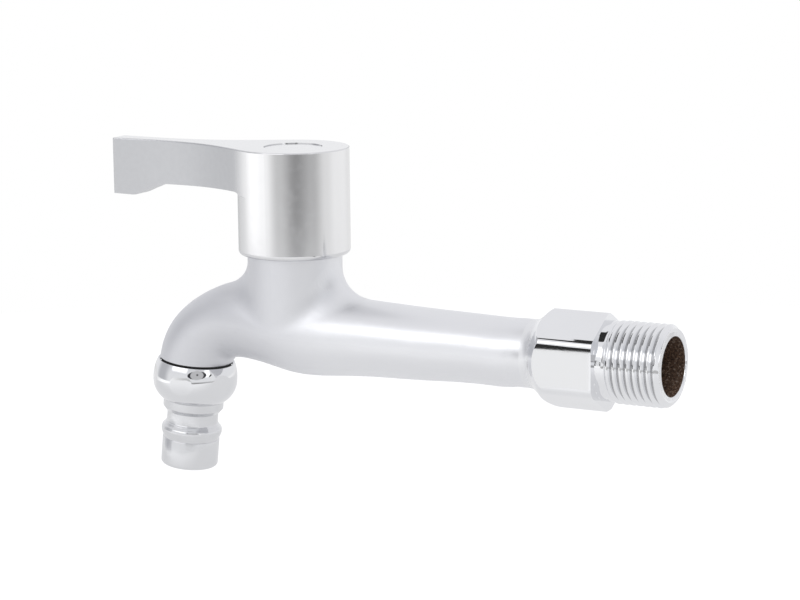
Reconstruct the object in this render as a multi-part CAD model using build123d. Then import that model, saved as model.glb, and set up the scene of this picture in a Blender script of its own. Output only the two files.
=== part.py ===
# Washing machine tap: a long inlet arm, a quarter-turn ceramic valve under a lever
# handle, and a push-on hose nozzle held on the spout by a union nut.
# Sizes are in millimetres. The origin is on the inlet axis, on the face of the hexagon
# where the inlet thread starts. +Y points into the wall, -Y into the room and +Z up.

import os

from build123d import *
from math import cos, hypot, pi, radians, sin, sqrt, tan

os.makedirs("parts", exist_ok=True)

# Fits
RUNNING_GAP = 0.05
CLEARANCE = 0.4

# Inlet end: a half inch pipe thread, and the hexagon that it is tightened with
INLET_THREAD_RADIUS = 20.955 / 2
INLET_THREAD_LENGTH = 17.2
INLET_THREAD_CHAMFER = 1.0
INLET_WALL = 2.88
INLET_COUNTERBORE_DEPTH = 20.0
HEX_ACROSS_FLATS = 22.5
HEX_CORNER_RADIUS = 12.95
HEX_POLISH_WIDTH = 1.6
HEX_POLISH_ANGLE = 5.0
HEX_ROUNDING = 2.0
HEX_DROP = 0.5
HEX_LENGTH = 21.0
PLAIN_ARM = 3.5
HEX_FLARE_LENGTH = 8.8
HEX_CHAMFER = 0.3

# Arm and cast body
VALVE_DISTANCE = 90.5
ARM_END_RADIUS = 8.78
ARM_BORE_WALL = 2.2
SHOULDER_DISTANCE = 20.0
SHOULDER_TOP = 10.1
SHOULDER_DEPTH = 10.2
SHOULDER_HALF_WIDTH = 10.5
CHAMBER_TOP = 11.9
BODY_WALL = 2.4
SEAT_WALL = 2.2
DUCT_HEIGHT = 6.4
DUCT_WIDTH = 12.0
NECK_TOP = 23.5
NECK_WALL = 2.9
NECK_FILLET = 9.8
CHAMBER_RELIEF = 0.3

# Handle: a round skirt over the valve, and a lever above the spout
HANDLE_RADIUS = 14.76
SKIRT_WALL = 1.86
SKIRT_OVERLAP = 2.57
HANDLE_PLATE = 4.0
SKIRT_EDGE = 1.3
TOP_EDGE = 0.35
LEVER_REACH = 55.0
LEVER_TIP_WIDTH = 6.0
LEVER_WAIST_WIDTH = 5.0
LEVER_ROOT_ANGLE = 24.8
LEVER_ROOT_DEPTH = 11.3
LEVER_TIP_DEPTH = 15.1
LEVER_TIP_EDGE = 0.4
LEVER_ROOT_FILLET = 1.7
HUB_CLEARANCE = 0.65
HUB_WEB = 1.3

# Handle screw and cap
CAP_RADIUS = 7.65
CAP_THICKNESS = 2.0
CAP_RECESS = 0.4
CAP_HEADROOM = 1.3
SCREW_RADIUS = 2.0
SCREW_LENGTH = 10.0
SCREW_HEAD_RADIUS = 3.8
SCREW_HEAD_HEIGHT = 1.8
SCREW_WASHER = 0.5

# Valve cartridge, heights above the seat in the body
FLANGE_GASKET = 1.0
FLANGE_HEIGHT = 6.0
TOWER_HEIGHT = 3.5
THREAD_DEPTH = 9.5
THREAD_HEIGHT = 0.4
CARTRIDGE_BOTTOM = 1.0
CARTRIDGE_WALL = 1.25
SEAL_HEIGHT = 3.0
SEAL_WIDTH = 2.9
FIXED_DISC_THICKNESS = 3.2
MOVING_DISC_THICKNESS = 3.4
DRIVE_DEPTH = 1.7
DRIVE_WIDTH = 2.9
SPINDLE_SHARE = 0.545
SPINDLE_FLANGE = 3.0
SLIP_WASHER = 0.55
STOP_SHARE = 0.72
STOP_WIDTH_ANGLE = 30.0
HANDLE_TRAVEL_ANGLE = 90.0
STOP_PLAY_ANGLE = 1.0
EAR_WIDTH = 3.0
SPLINE_TEETH = 20
SPLINE_TOOTH = 0.4
SPLINE_STEP = 0.35
SPLINE_LENGTH = 6.5
O_RING_SECTION = 1.38
O_RING_SPACING = 4.5
CLIP_THICKNESS = 0.7
CLIP_GROOVE = 0.9

# Spout outlet, union nut and hose nozzle, lengths along the outlet axis from the nut's top
OUTLET_REACH = 31.6
OUTLET_DROP = 10.68
OUTLET_TILT = 6.3
OUTLET_WALL = 3.45
NOSE_ENTRY = 0.2
NUT_COLLAR = 0.45
NUT_COLLAR_GAP = 0.2
SPIGOT_STEP = 0.5
SPIGOT_LENGTH = 4.4
GASKET_THICKNESS = 1.5
NUT_LENGTH = 10.65
NUT_RIM = 0.5
NUT_SWELL = 1.0
NUT_WIDEST = 4.9
NUT_LOWER_ARC = 7.0
NUT_FLAT_DEPTH = 0.45
NUT_FLATS = 6
NUT_FLAT_ANGLE = 12.0
NUT_FLAT_RADIUS = 3.6
NOZZLE_FLANGE = 1.9
FLANGE_STEP = 0.6
LIP_GAP = 0.09
COLLAR_END = 14.0
COLLAR_CHAMFER = 1.1
GROOVE_END = 17.2
BEAD_MIDDLE = 19.3
BEAD_END = 21.1
NOZZLE_LENGTH = 29.1
NOZZLE_EDGE = 1.0
NOZZLE_LEDGE = 1.8
BARREL_RADIUS = 7.72
COLLAR_STEP = 0.43
BEAD_STEP = 0.48
GROOVE_STEP = 0.79
NOZZLE_WALL = 1.63

# Sizes that follow from the ones above
SKIRT_BORE = HANDLE_RADIUS - SKIRT_WALL
NECK_RADIUS = SKIRT_BORE - CLEARANCE
NECK_BORE = NECK_RADIUS - NECK_WALL
CHAMBER_RADIUS = NECK_BORE + CHAMBER_RELIEF
CARTRIDGE_THREAD_RADIUS = NECK_BORE - RUNNING_GAP
CARTRIDGE_RADIUS = CARTRIDGE_THREAD_RADIUS - THREAD_HEIGHT
CAVITY_RADIUS = CARTRIDGE_RADIUS - CARTRIDGE_WALL
MOVING_RADIUS = CAVITY_RADIUS - CLEARANCE
SEAT_HOLE_RADIUS = CAVITY_RADIUS - SEAL_WIDTH
SPINDLE_RADIUS = SPINDLE_SHARE * CAVITY_RADIUS
SPLINE_RADIUS = SPINDLE_RADIUS - SPLINE_STEP
FLANGE_BOTTOM = NECK_TOP + FLANGE_GASKET
FLANGE_TOP = FLANGE_BOTTOM + FLANGE_HEIGHT
TOWER_TOP = FLANGE_TOP + TOWER_HEIGHT
DISC_JOINT = SEAL_HEIGHT + FIXED_DISC_THICKNESS
MOVING_TOP = DISC_JOINT + MOVING_DISC_THICKNESS
SPINDLE_FLANGE_TOP = MOVING_TOP + SPINDLE_FLANGE
CAVITY_TOP = SPINDLE_FLANGE_TOP + SLIP_WASHER + RUNNING_GAP
STOP_RADIUS = STOP_SHARE * CAVITY_RADIUS
O_RING_HEIGHTS = (CAVITY_TOP + O_RING_SPACING, CAVITY_TOP + 2 * O_RING_SPACING)
CLIP_RADIUS = SPINDLE_RADIUS - CLIP_GROOVE
CLIP_BOTTOM = TOWER_TOP + RUNNING_GAP
HUB_BOTTOM = CLIP_BOTTOM + CLIP_THICKNESS + HUB_CLEARANCE
HUB_FLOOR = HUB_BOTTOM + SPLINE_LENGTH
SPINDLE_TOP = HUB_FLOOR - CLEARANCE
COUNTERBORE_FLOOR = HUB_FLOOR + HUB_WEB
CAP_BOTTOM = COUNTERBORE_FLOOR + SCREW_WASHER + SCREW_HEAD_HEIGHT + CAP_HEADROOM
HANDLE_TOP = CAP_BOTTOM + CAP_THICKNESS + CAP_RECESS
PLATE_BOTTOM = HANDLE_TOP - HANDLE_PLATE
SKIRT_BOTTOM = NECK_TOP - SKIRT_OVERLAP
DUCT_TOP = -SEAT_WALL
DUCT_FLOOR = DUCT_TOP - DUCT_HEIGHT
BELLY = DUCT_FLOOR - BODY_WALL
INLET_BORE_RADIUS = INLET_THREAD_RADIUS - INLET_WALL
ARM_BORE_RADIUS = ARM_END_RADIUS - ARM_BORE_WALL
COLLAR_RADIUS = BARREL_RADIUS + COLLAR_STEP
BEAD_RADIUS = BARREL_RADIUS + BEAD_STEP
GROOVE_RADIUS = BARREL_RADIUS - GROOVE_STEP
NOZZLE_BORE_RADIUS = GROOVE_RADIUS - NOZZLE_WALL
OUTLET_RADIUS = COLLAR_RADIUS + NOZZLE_LEDGE
NUT_TOP_RADIUS = OUTLET_RADIUS + NUT_RIM
NUT_RADIUS = NUT_TOP_RADIUS + NUT_SWELL
SPIGOT_RADIUS = OUTLET_RADIUS - SPIGOT_STEP
NUT_BORE = SPIGOT_RADIUS + RUNNING_GAP
SPOUT_BORE = OUTLET_RADIUS - OUTLET_WALL
GASKET_END = SPIGOT_LENGTH + GASKET_THICKNESS
LIP_TOP = GASKET_END + NOZZLE_FLANGE
FLANGE_RADIUS = SPIGOT_RADIUS - FLANGE_STEP
LIP_BORE = COLLAR_RADIUS + LIP_GAP

UPWARD = (Align.CENTER, Align.CENTER, Align.MIN)
VALVE = Pos(0, -VALVE_DISTANCE, 0)
OUTLET_DIRECTION = (0, -sin(radians(OUTLET_TILT)), -cos(radians(OUTLET_TILT)))
OUTLET_PLANE = Plane(
    origin=(0, -VALVE_DISTANCE - OUTLET_REACH, -OUTLET_DROP),
    x_dir=(1, 0, 0),
    z_dir=OUTLET_DIRECTION,
)
OUTLET = OUTLET_PLANE.location


def disc(radius, bottom, top):
    """A solid round bar on the Z axis between two heights."""
    return Pos(0, 0, bottom) * Cylinder(radius, top - bottom, align=UPWARD)


def ring(outer, inner, bottom, top):
    """A plain ring on the Z axis between two heights."""
    return disc(outer, bottom, top) - disc(inner, bottom - 1, top + 1)


def sector(outer, inner, bottom, top, start_angle, end_angle):
    """The part of a ring between two angles, measured from +X towards +Y."""
    middle = (start_angle + end_angle) / 2
    half = radians(end_angle - start_angle) / 2
    reach = outer / cos(min(half, radians(62))) + 1
    corners = [
        (0, 0),
        (reach * cos(half), -reach * sin(half)),
        (reach * 1.5, 0),
        (reach * cos(half), reach * sin(half)),
    ]
    wedge = extrude(make_face(Polyline(*corners, close=True)), top - bottom)
    wedge = Pos(0, 0, bottom) * (Rot(0, 0, middle) * wedge)
    return ring(outer, inner, bottom, top) & wedge


def turned(points):
    """A solid turned round the Z axis from (radius, height) corners."""
    profile = make_face(Polyline(*[(r, 0, z) for r, z in points], close=True))
    return revolve(profile, Axis.Z, 360)


def toothed(tip_radius, root_radius, bottom, top):
    """A bar with V-shaped splines."""
    corners = []
    for step in range(2 * SPLINE_TEETH):
        radius = tip_radius if step % 2 == 0 else root_radius
        angle = pi * step / SPLINE_TEETH
        corners.append((radius * cos(angle), radius * sin(angle)))
    star = make_face(Polyline(*corners, close=True))
    return Pos(0, 0, bottom) * extrude(star, top - bottom)


# The cast body

def pipe_section(top, bottom, half_width):
    """An ellipse across the cast pipe, through one top and one bottom point of its outline.
    The points are (distance from the valve axis towards the wall, height)."""
    half_height = hypot(top[0] - bottom[0], top[1] - bottom[1]) / 2
    middle_y = (top[0] + bottom[0]) / 2 - VALVE_DISTANCE
    middle_z = (top[1] + bottom[1]) / 2
    up_y = (top[0] - bottom[0]) / (2 * half_height)
    up_z = (top[1] - bottom[1]) / (2 * half_height)
    across = Plane(origin=(0, middle_y, middle_z), x_dir=(1, 0, 0), z_dir=(0, -up_z, up_y))
    if half_width <= half_height + 0.001:
        return across * Circle(half_height)
    return across * Ellipse(half_width, half_height)


def arm_sections():
    """Sections of the arm, from its plain end to the shoulder where it meets the chamber.
    The top stays straight for longer than the underside."""
    start = VALVE_DISTANCE - HEX_LENGTH - PLAIN_ARM
    sections = []
    for share in (0, 0.25, 0.5, 0.75, 1):
        distance = start + share * (SHOULDER_DISTANCE - start)
        top = ARM_END_RADIUS + (SHOULDER_TOP - ARM_END_RADIUS) * share**1.8
        depth = ARM_END_RADIUS + (SHOULDER_DEPTH - ARM_END_RADIUS) * share**1.2
        half_width = ARM_END_RADIUS + (SHOULDER_HALF_WIDTH - ARM_END_RADIUS) * share**1.5
        sections.append(((distance, top), (distance, -depth), half_width))
    return sections


def spout_sections():
    """Sections of the spout. The outer side of the bend is placed by shares of the way to
    the outlet's outer edge, and the inner side by shares of the way to its inner edge."""
    outer = -OUTLET_REACH - OUTLET_RADIUS
    inner = -OUTLET_REACH + OUTLET_RADIUS
    narrowing = NECK_RADIUS - OUTLET_RADIUS
    tilt = radians(OUTLET_TILT)
    nose = (-OUTLET_REACH - NOSE_ENTRY * sin(tilt), -OUTLET_DROP - NOSE_ENTRY * cos(tilt))
    across = (OUTLET_RADIUS * cos(tilt), OUTLET_RADIUS * sin(tilt))
    nose_top = (nose[0] - across[0], nose[1] + across[1])
    nose_bottom = (nose[0] + across[0], nose[1] - across[1])
    return [
        ((0.217 * outer, 12.5), (0.346 * inner, -9.1), NECK_RADIUS - 0.3),
        ((0.421 * outer, 12.3), (0.647 * inner, -8.3), OUTLET_RADIUS + 0.41 * narrowing),
        ((0.626 * outer, 9.3), (0.859 * inner, 2.08 - OUTLET_DROP), OUTLET_RADIUS + 0.06 * narrowing),
        ((0.804 * outer, 15.28 - OUTLET_DROP), (0.954 * inner, 0.9 - OUTLET_DROP), OUTLET_RADIUS),
        ((0.934 * outer, 8.88 - OUTLET_DROP), (0.995 * inner, -0.2 - OUTLET_DROP), OUTLET_RADIUS),
        (nose_top, nose_bottom, OUTLET_RADIUS),
    ]


def cast_pipe():
    """The outside of the arm, the valve chamber and the curved spout."""
    chamber_sections = [
        ((9.0, 11.0), (9.0, BELLY), NECK_RADIUS - 0.7),
        ((0.0, CHAMBER_TOP), (0.5, BELLY + 0.35), NECK_RADIUS + 0.3),
    ]
    sections = arm_sections() + chamber_sections + spout_sections()
    return loft([pipe_section(*section) for section in sections])


def inlet_hexagon():
    """The end of the arm, flaring out into the hexagon. The hexagon is cast a little below
    the thread's axis, and polishing has worn its flats down beside the corners."""
    length = HEX_LENGTH + PLAIN_ARM
    half_flats = HEX_ACROSS_FLATS / 2
    worn = radians(HEX_POLISH_ANGLE)
    worn_start = half_flats * tan(radians(30)) - HEX_POLISH_WIDTH
    half_worn = half_flats * cos(worn) + worn_start * sin(worn)
    outline = RegularPolygon(half_flats, 6, major_radius=False, rotation=30)
    for turn in (-HEX_POLISH_ANGLE, HEX_POLISH_ANGLE):
        outline = outline & RegularPolygon(half_worn, 6, major_radius=False, rotation=30 + turn)
    corners = outline.vertices().sort_by(lambda corner: hypot(corner.X, corner.Y))[-6:]
    outline = fillet(corners, HEX_ROUNDING)
    prism = Pos(0, 0, -HEX_DROP) * extrude(Plane.XZ * outline, length + 1, dir=(0, -1, 0))
    arm_end = (ARM_END_RADIUS, -HEX_LENGTH)
    flare_end = (HEX_CORNER_RADIUS, -HEX_LENGTH + HEX_FLARE_LENGTH)
    flare_middle = ((arm_end[0] + flare_end[0]) / 2, (arm_end[1] + flare_end[1]) / 2)
    flare = Spline(arm_end, flare_middle, flare_end, tangents=[(0, 1), (0.02, 1)])
    outline = flare + Polyline(
        flare_end,
        (HEX_CORNER_RADIUS, -HEX_CHAMFER),
        (HEX_CORNER_RADIUS - HEX_CHAMFER, 0),
        (0, 0),
        (0, -length),
        (ARM_END_RADIUS, -length),
        arm_end,
    )
    envelope = revolve(make_face(outline), Axis.Y, 360)
    return prism & envelope


def blend_edges(body):
    """The closed edge where the neck runs into the cast pipe."""
    found = []
    for edge in body.edges():
        box = edge.bounding_box()
        as_wide_as_neck = abs(box.size.X - 2 * NECK_RADIUS) < 0.1
        if as_wide_as_neck and box.min.Z > 0 and box.max.Z < NECK_TOP - 1:
            found.append(edge)
    return found


def spout_waterway():
    """The curved bore from the valve chamber to the outlet."""
    start = (0, -VALVE_DISTANCE - CHAMBER_RADIUS + 2.2, 6.2)
    crown = (0, -VALVE_DISTANCE - 19.0, 3.4)
    end = OUTLET_PLANE.from_local_coords((0, 0, SPIGOT_LENGTH + 1))
    bend_end = OUTLET_PLANE.from_local_coords((0, 0, -3.0))
    path = Spline(start, crown, bend_end, tangents=[(0, -1, -0.1), OUTLET_DIRECTION])
    path = path + Line(bend_end, end)
    return sweep(Plane(origin=start, z_dir=(0, -1, -0.1)) * Circle(SPOUT_BORE), path=path)


def arm_waterway():
    """The bore of the arm: a counterbore at the inlet, then a slow taper to the seat."""
    end = -VALVE_DISTANCE + CHAMBER_RADIUS + 2.5
    mouth = INLET_THREAD_LENGTH + 1
    neck_of_bore = INLET_THREAD_LENGTH - INLET_COUNTERBORE_DEPTH
    profile = [
        (0, mouth),
        (INLET_BORE_RADIUS, mouth),
        (INLET_BORE_RADIUS, neck_of_bore),
        (INLET_BORE_RADIUS - 0.7, neck_of_bore - 0.7),
        (ARM_BORE_RADIUS, end),
        (0, end),
    ]
    return revolve(make_face(Polyline(*[(r, y, 0) for r, y in profile], close=True)), Axis.Y, 360)


def seat_duct():
    """The duct from the arm's bore to below the valve seat, and the hole in the seat."""
    start = -VALVE_DISTANCE - SEAT_HOLE_RADIUS - 0.5
    end = -VALVE_DISTANCE + CHAMBER_RADIUS + 6.0
    duct = Pos(0, (start + end) / 2, DUCT_FLOOR) * Box(
        DUCT_WIDTH, end - start, DUCT_HEIGHT, align=UPWARD
    )
    duct = fillet(duct.edges().filter_by(Axis.Y), 2.0)
    return duct + VALVE * disc(SEAT_HOLE_RADIUS, DUCT_TOP - 1, 1)


def tap_body():
    body = cast_pipe() + VALVE * disc(NECK_RADIUS, 0, NECK_TOP)
    body = fillet(blend_edges(body), NECK_FILLET)
    body = body + inlet_hexagon()
    thread = Cone(
        INLET_THREAD_RADIUS,
        INLET_THREAD_RADIUS - INLET_THREAD_CHAMFER,
        INLET_THREAD_CHAMFER,
        align=UPWARD,
    )
    plain_length = INLET_THREAD_LENGTH - INLET_THREAD_CHAMFER
    thread = Pos(0, 0, plain_length) * thread + disc(INLET_THREAD_RADIUS, -1, plain_length)
    body = body + Rot(-90, 0, 0) * thread
    body = body + OUTLET * disc(SPIGOT_RADIUS, -1, SPIGOT_LENGTH)
    chamber = disc(CHAMBER_RADIUS, 0, NECK_TOP - THREAD_DEPTH)
    chamber = chamber + disc(NECK_BORE, NECK_TOP - THREAD_DEPTH - 1, NECK_TOP + 1)
    body = body - VALVE * chamber
    return body - spout_waterway() - arm_waterway() - seat_duct()


# The valve cartridge, from the seat upwards

def seat_seal():
    outer = CAVITY_RADIUS - RUNNING_GAP
    return VALVE * ring(outer, SEAT_HOLE_RADIUS + 0.6, 0, SEAL_HEIGHT)


def seal_support_ring():
    return VALVE * ring(SEAT_HOLE_RADIUS + 0.55, SEAT_HOLE_RADIUS, 0.5, SEAL_HEIGHT)


def fixed_disc():
    """The lower ceramic disc, with two openings and two ears that key it to the housing."""
    outer = CAVITY_RADIUS - RUNNING_GAP
    plate = disc(outer, SEAL_HEIGHT, DISC_JOINT)
    ears = Pos(0, 0, SEAL_HEIGHT) * Box(
        2 * (outer + 0.5), EAR_WIDTH, FIXED_DISC_THICKNESS, align=UPWARD
    )
    plate = plate + (ears & disc(outer + 0.5, SEAL_HEIGHT, DISC_JOINT))
    for middle in (90, 270):
        plate = plate - sector(
            SEAT_HOLE_RADIUS - 0.1, 1.6, SEAL_HEIGHT - 1, DISC_JOINT + 1, middle - 38, middle + 38
        )
    return VALVE * plate


def moving_disc():
    """The upper ceramic disc: a bow tie whose solid wings cover the openings when closed."""
    plate = disc(MOVING_RADIUS, DISC_JOINT, MOVING_TOP)
    for middle in (0, 180):
        plate = plate - sector(
            MOVING_RADIUS + 1, 2.4, DISC_JOINT - 1, MOVING_TOP + 1, middle - 40, middle + 40
        )
    slot = Pos(0, 0, MOVING_TOP - DRIVE_DEPTH - RUNNING_GAP) * Box(
        DRIVE_WIDTH + 2 * RUNNING_GAP, 3 * MOVING_RADIUS, DRIVE_DEPTH + 1, align=UPWARD
    )
    return VALVE * (plate - slot)


def cartridge_housing():
    """The brass headwork: hexagon, tower, thread, windows, and the rib that stops the spindle."""
    flats = 2 * (CARTRIDGE_THREAD_RADIUS + 1.2)
    hexagon = extrude(RegularPolygon(flats / 2, 6, major_radius=False), FLANGE_HEIGHT)
    hexagon = Pos(0, 0, FLANGE_BOTTOM) * hexagon
    hexagon = hexagon & disc(NECK_RADIUS - 0.5, FLANGE_BOTTOM, FLANGE_TOP)
    tower = disc(SPINDLE_RADIUS + 2.2, FLANGE_TOP - 1, TOWER_TOP)
    thread = disc(CARTRIDGE_THREAD_RADIUS, NECK_TOP - THREAD_DEPTH, FLANGE_BOTTOM + 1)
    lower = disc(CARTRIDGE_RADIUS, CARTRIDGE_BOTTOM, NECK_TOP - THREAD_DEPTH + 1)
    housing = hexagon + tower + thread + lower
    housing = housing - disc(CAVITY_RADIUS, CARTRIDGE_BOTTOM - 1, CAVITY_TOP)
    housing = housing - disc(SPINDLE_RADIUS + RUNNING_GAP, CAVITY_TOP - 1, TOWER_TOP + 1)
    for middle in (90, 270):
        housing = housing - sector(
            CARTRIDGE_RADIUS + 2,
            CAVITY_RADIUS - 0.5,
            DISC_JOINT + 0.4,
            SPINDLE_FLANGE_TOP,
            middle - 32,
            middle + 32,
        )
    ear_slot = Pos(0, 0, CARTRIDGE_BOTTOM - 1) * Box(
        2 * (CAVITY_RADIUS + 0.55),
        EAR_WIDTH + 2 * RUNNING_GAP,
        DISC_JOINT + RUNNING_GAP - CARTRIDGE_BOTTOM + 1,
        align=UPWARD,
    )
    housing = housing - ear_slot
    half_stop = STOP_WIDTH_ANGLE / 2
    rib = sector(
        CAVITY_RADIUS + 0.3,
        STOP_RADIUS + 0.1,
        MOVING_TOP + RUNNING_GAP,
        CAVITY_TOP + 0.3,
        -half_stop,
        half_stop,
    )
    return VALVE * (housing + rib)


def cartridge_gasket():
    return VALVE * ring(NECK_RADIUS - 0.3, CARTRIDGE_THREAD_RADIUS + 0.1, NECK_TOP, FLANGE_BOTTOM)


def slip_washer():
    bottom = SPINDLE_FLANGE_TOP
    return VALVE * ring(STOP_RADIUS - 0.1, SPINDLE_RADIUS + 0.1, bottom, bottom + SLIP_WASHER)


def spindle():
    """The brass spindle: a drive bar, a flange cut away for the stop, grooves and splines."""
    bar = Pos(0, 0, MOVING_TOP - DRIVE_DEPTH) * Box(
        DRIVE_WIDTH, 3 * MOVING_RADIUS, DRIVE_DEPTH + 1, align=UPWARD
    )
    bar = bar & disc(MOVING_RADIUS - 0.3, MOVING_TOP - DRIVE_DEPTH, MOVING_TOP)
    flange = disc(MOVING_RADIUS, MOVING_TOP, SPINDLE_FLANGE_TOP)
    half_stop = STOP_WIDTH_ANGLE / 2 + STOP_PLAY_ANGLE
    flange = flange - sector(
        MOVING_RADIUS + 1,
        STOP_RADIUS,
        MOVING_TOP - 1,
        SPINDLE_FLANGE_TOP + 1,
        -HANDLE_TRAVEL_ANGLE - half_stop,
        half_stop,
    )
    shaft = disc(SPINDLE_RADIUS, MOVING_TOP, HUB_BOTTOM - RUNNING_GAP)
    for height in O_RING_HEIGHTS:
        shaft = shaft - groove_ring(height)
    clip_groove = ring(
        SPINDLE_RADIUS + 1, CLIP_RADIUS, CLIP_BOTTOM, CLIP_BOTTOM + CLIP_THICKNESS + RUNNING_GAP
    )
    shaft = shaft - clip_groove
    splines = toothed(SPLINE_RADIUS, SPLINE_RADIUS - SPLINE_TOOTH, HUB_BOTTOM - 0.5, SPINDLE_TOP)
    screw_hole = disc(SCREW_RADIUS + 0.03, SPINDLE_TOP - SCREW_LENGTH + 0.5, SPINDLE_TOP + 1)
    return VALVE * (bar + flange + shaft + splines - screw_hole)


def groove_ring(height):
    half = O_RING_SECTION / 2 + 0.15
    floor = SPINDLE_RADIUS - O_RING_SECTION
    return ring(SPINDLE_RADIUS + 1, floor, height - half, height + half)


def spindle_o_rings():
    """Two rubber rings in the grooves of the spindle."""
    section = O_RING_SECTION / 2
    middle = SPINDLE_RADIUS + 0.02 - section
    rings = [Pos(0, 0, height) * Torus(middle, section) for height in O_RING_HEIGHTS]
    return Compound(children=[VALVE * one for one in rings])


def spindle_clip():
    """The open spring clip that keeps the spindle in the housing."""
    clip = ring(SPINDLE_RADIUS + 1.1, CLIP_RADIUS + 0.03, CLIP_BOTTOM, CLIP_BOTTOM + CLIP_THICKNESS)
    mouth = Pos(SPINDLE_RADIUS, 0, CLIP_BOTTOM - 1) * Box(
        2 * SPINDLE_RADIUS, 1.5 * CLIP_RADIUS, CLIP_THICKNESS + 2, align=UPWARD
    )
    return VALVE * (clip - mouth)


# The handle

def lever():
    """The lever: flush with the top of the skirt, waisted in plan and deeper at its tip."""
    root_x = HANDLE_RADIUS * cos(radians(LEVER_ROOT_ANGLE))
    root_y = -HANDLE_RADIUS * sin(radians(LEVER_ROOT_ANGLE))
    waist = LEVER_WAIST_WIDTH / 2
    free = LEVER_REACH - HANDLE_RADIUS
    edge_points = [
        (root_x, root_y),
        (waist + 4.0, -HANDLE_RADIUS - 0.14 * free),
        (waist + 1.75, -HANDLE_RADIUS - 0.31 * free),
        (waist + 0.6, -HANDLE_RADIUS - 0.47 * free),
        (waist, -HANDLE_RADIUS - 0.66 * free),
        (LEVER_TIP_WIDTH / 2, -LEVER_REACH),
    ]
    lean = radians(LEVER_ROOT_ANGLE)
    tangents = [(-sin(lean), -cos(lean)), (0.06, -1)]
    near = Spline(*edge_points, tangents=tangents)
    far = mirror(near, Plane.YZ)
    tip = Line((LEVER_TIP_WIDTH / 2, -LEVER_REACH), (-LEVER_TIP_WIDTH / 2, -LEVER_REACH))
    root = Polyline((root_x, root_y), (0, 0), (-root_x, root_y))
    plan = make_face(near + far + tip + root)
    plan = fillet(plan.vertices().group_by(Axis.Y)[0], LEVER_TIP_EDGE)
    blank = Pos(0, 0, HANDLE_TOP - LEVER_TIP_DEPTH - 2) * extrude(plan, LEVER_TIP_DEPTH + 2)
    root_bottom = HANDLE_TOP - LEVER_ROOT_DEPTH
    arm_bottom = root_bottom - 0.5
    tip_bottom = HANDLE_TOP - LEVER_TIP_DEPTH
    rise_start = -LEVER_REACH + 6.0
    rise_end = -LEVER_REACH + 16.5
    rise = Spline(
        (rise_start, tip_bottom - 0.15),
        (-LEVER_REACH + 9.65, tip_bottom + 0.95),
        (-LEVER_REACH + 13.2, tip_bottom + 2.4),
        (rise_end, arm_bottom),
        tangents=[(1, 0.02), (1, 0.05)],
    )
    side = rise + Polyline(
        (rise_end, arm_bottom),
        (-HANDLE_RADIUS, root_bottom),
        (0, root_bottom),
        (0, HANDLE_TOP),
        (-LEVER_REACH, HANDLE_TOP),
        (-LEVER_REACH, tip_bottom),
        (rise_start, tip_bottom - 0.15),
    )
    side = extrude(Plane.YZ * make_face(side), HANDLE_RADIUS, both=True)
    return blank & (side + root_fillet(root_bottom))


def root_fillet(root_bottom):
    """A ring with a hollow lower edge, which rounds the corner between skirt and lever."""
    sink = 0.08
    inner = HANDLE_RADIUS - sink
    outer = inner + LEVER_ROOT_FILLET
    top = root_bottom + sink
    foot = top - LEVER_ROOT_FILLET
    hollow = LEVER_ROOT_FILLET * (1 - sqrt(0.5))
    outline = ThreePointArc((outer, top), (inner + hollow, top - hollow), (inner, foot))
    outline = outline + Polyline(
        (inner, foot), (inner - 1, foot), (inner - 1, top + 1), (outer, top + 1), (outer, top)
    )
    return revolve(Plane.XZ * make_face(outline), Axis.Z, 360)


def handle():
    outside = disc(HANDLE_RADIUS, SKIRT_BOTTOM, HANDLE_TOP) + lever()
    outside = fillet(outside.edges().group_by(Axis.Z)[0], SKIRT_EDGE)
    outside = fillet(outside.edges().group_by(Axis.Z)[-1], TOP_EDGE)
    inside = disc(SKIRT_BORE, SKIRT_BOTTOM - 1, PLATE_BOTTOM)
    hub_radius = CAP_RADIUS - 0.4
    inside = inside - disc(hub_radius, HUB_BOTTOM, PLATE_BOTTOM)
    shape = outside - inside
    shape = shape - disc(CAP_RADIUS + RUNNING_GAP, CAP_BOTTOM, HANDLE_TOP + 1)
    shape = shape - disc(SCREW_HEAD_RADIUS + 0.5, COUNTERBORE_FLOOR, CAP_BOTTOM + 1)
    shape = shape - disc(SCREW_RADIUS + 0.15, HUB_FLOOR - 1, COUNTERBORE_FLOOR + 1)
    spline_hole = toothed(
        SPLINE_RADIUS + 0.07, SPLINE_RADIUS + 0.07 - SPLINE_TOOTH, HUB_BOTTOM - 1, HUB_FLOOR
    )
    return VALVE * (shape - spline_hole)


def screw_washer():
    top = COUNTERBORE_FLOOR + SCREW_WASHER
    return VALVE * ring(SCREW_HEAD_RADIUS - 0.1, SCREW_RADIUS + 0.1, COUNTERBORE_FLOOR, top)


def handle_screw():
    """A pan head screw with a cross recess."""
    seat = COUNTERBORE_FLOOR + SCREW_WASHER
    head = disc(SCREW_HEAD_RADIUS, seat, seat + SCREW_HEAD_HEIGHT)
    head = fillet(head.edges().group_by(Axis.Z)[-1], 0.8)
    for turn in (0, 90):
        recess = Pos(0, 0, seat + 0.5) * Box(3.6, 0.8, SCREW_HEAD_HEIGHT, align=UPWARD)
        head = head - Rot(0, 0, turn) * recess
    return VALVE * (head + disc(SCREW_RADIUS, seat - SCREW_LENGTH, seat + 0.3))


def handle_cap():
    """The plain cap over the screw, with a short ring that plugs into the counterbore."""
    cap = disc(CAP_RADIUS, CAP_BOTTOM, CAP_BOTTOM + CAP_THICKNESS)
    cap = fillet(cap.edges().group_by(Axis.Z)[-1], 0.3)
    plug_bottom = CAP_BOTTOM - 1.0
    plug_radius = SCREW_HEAD_RADIUS + 0.5 - RUNNING_GAP
    return VALVE * (cap + ring(plug_radius, plug_radius - 0.9, plug_bottom, CAP_BOTTOM + 0.2))


# The union nut and the hose nozzle, drawn along the outlet axis

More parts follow.
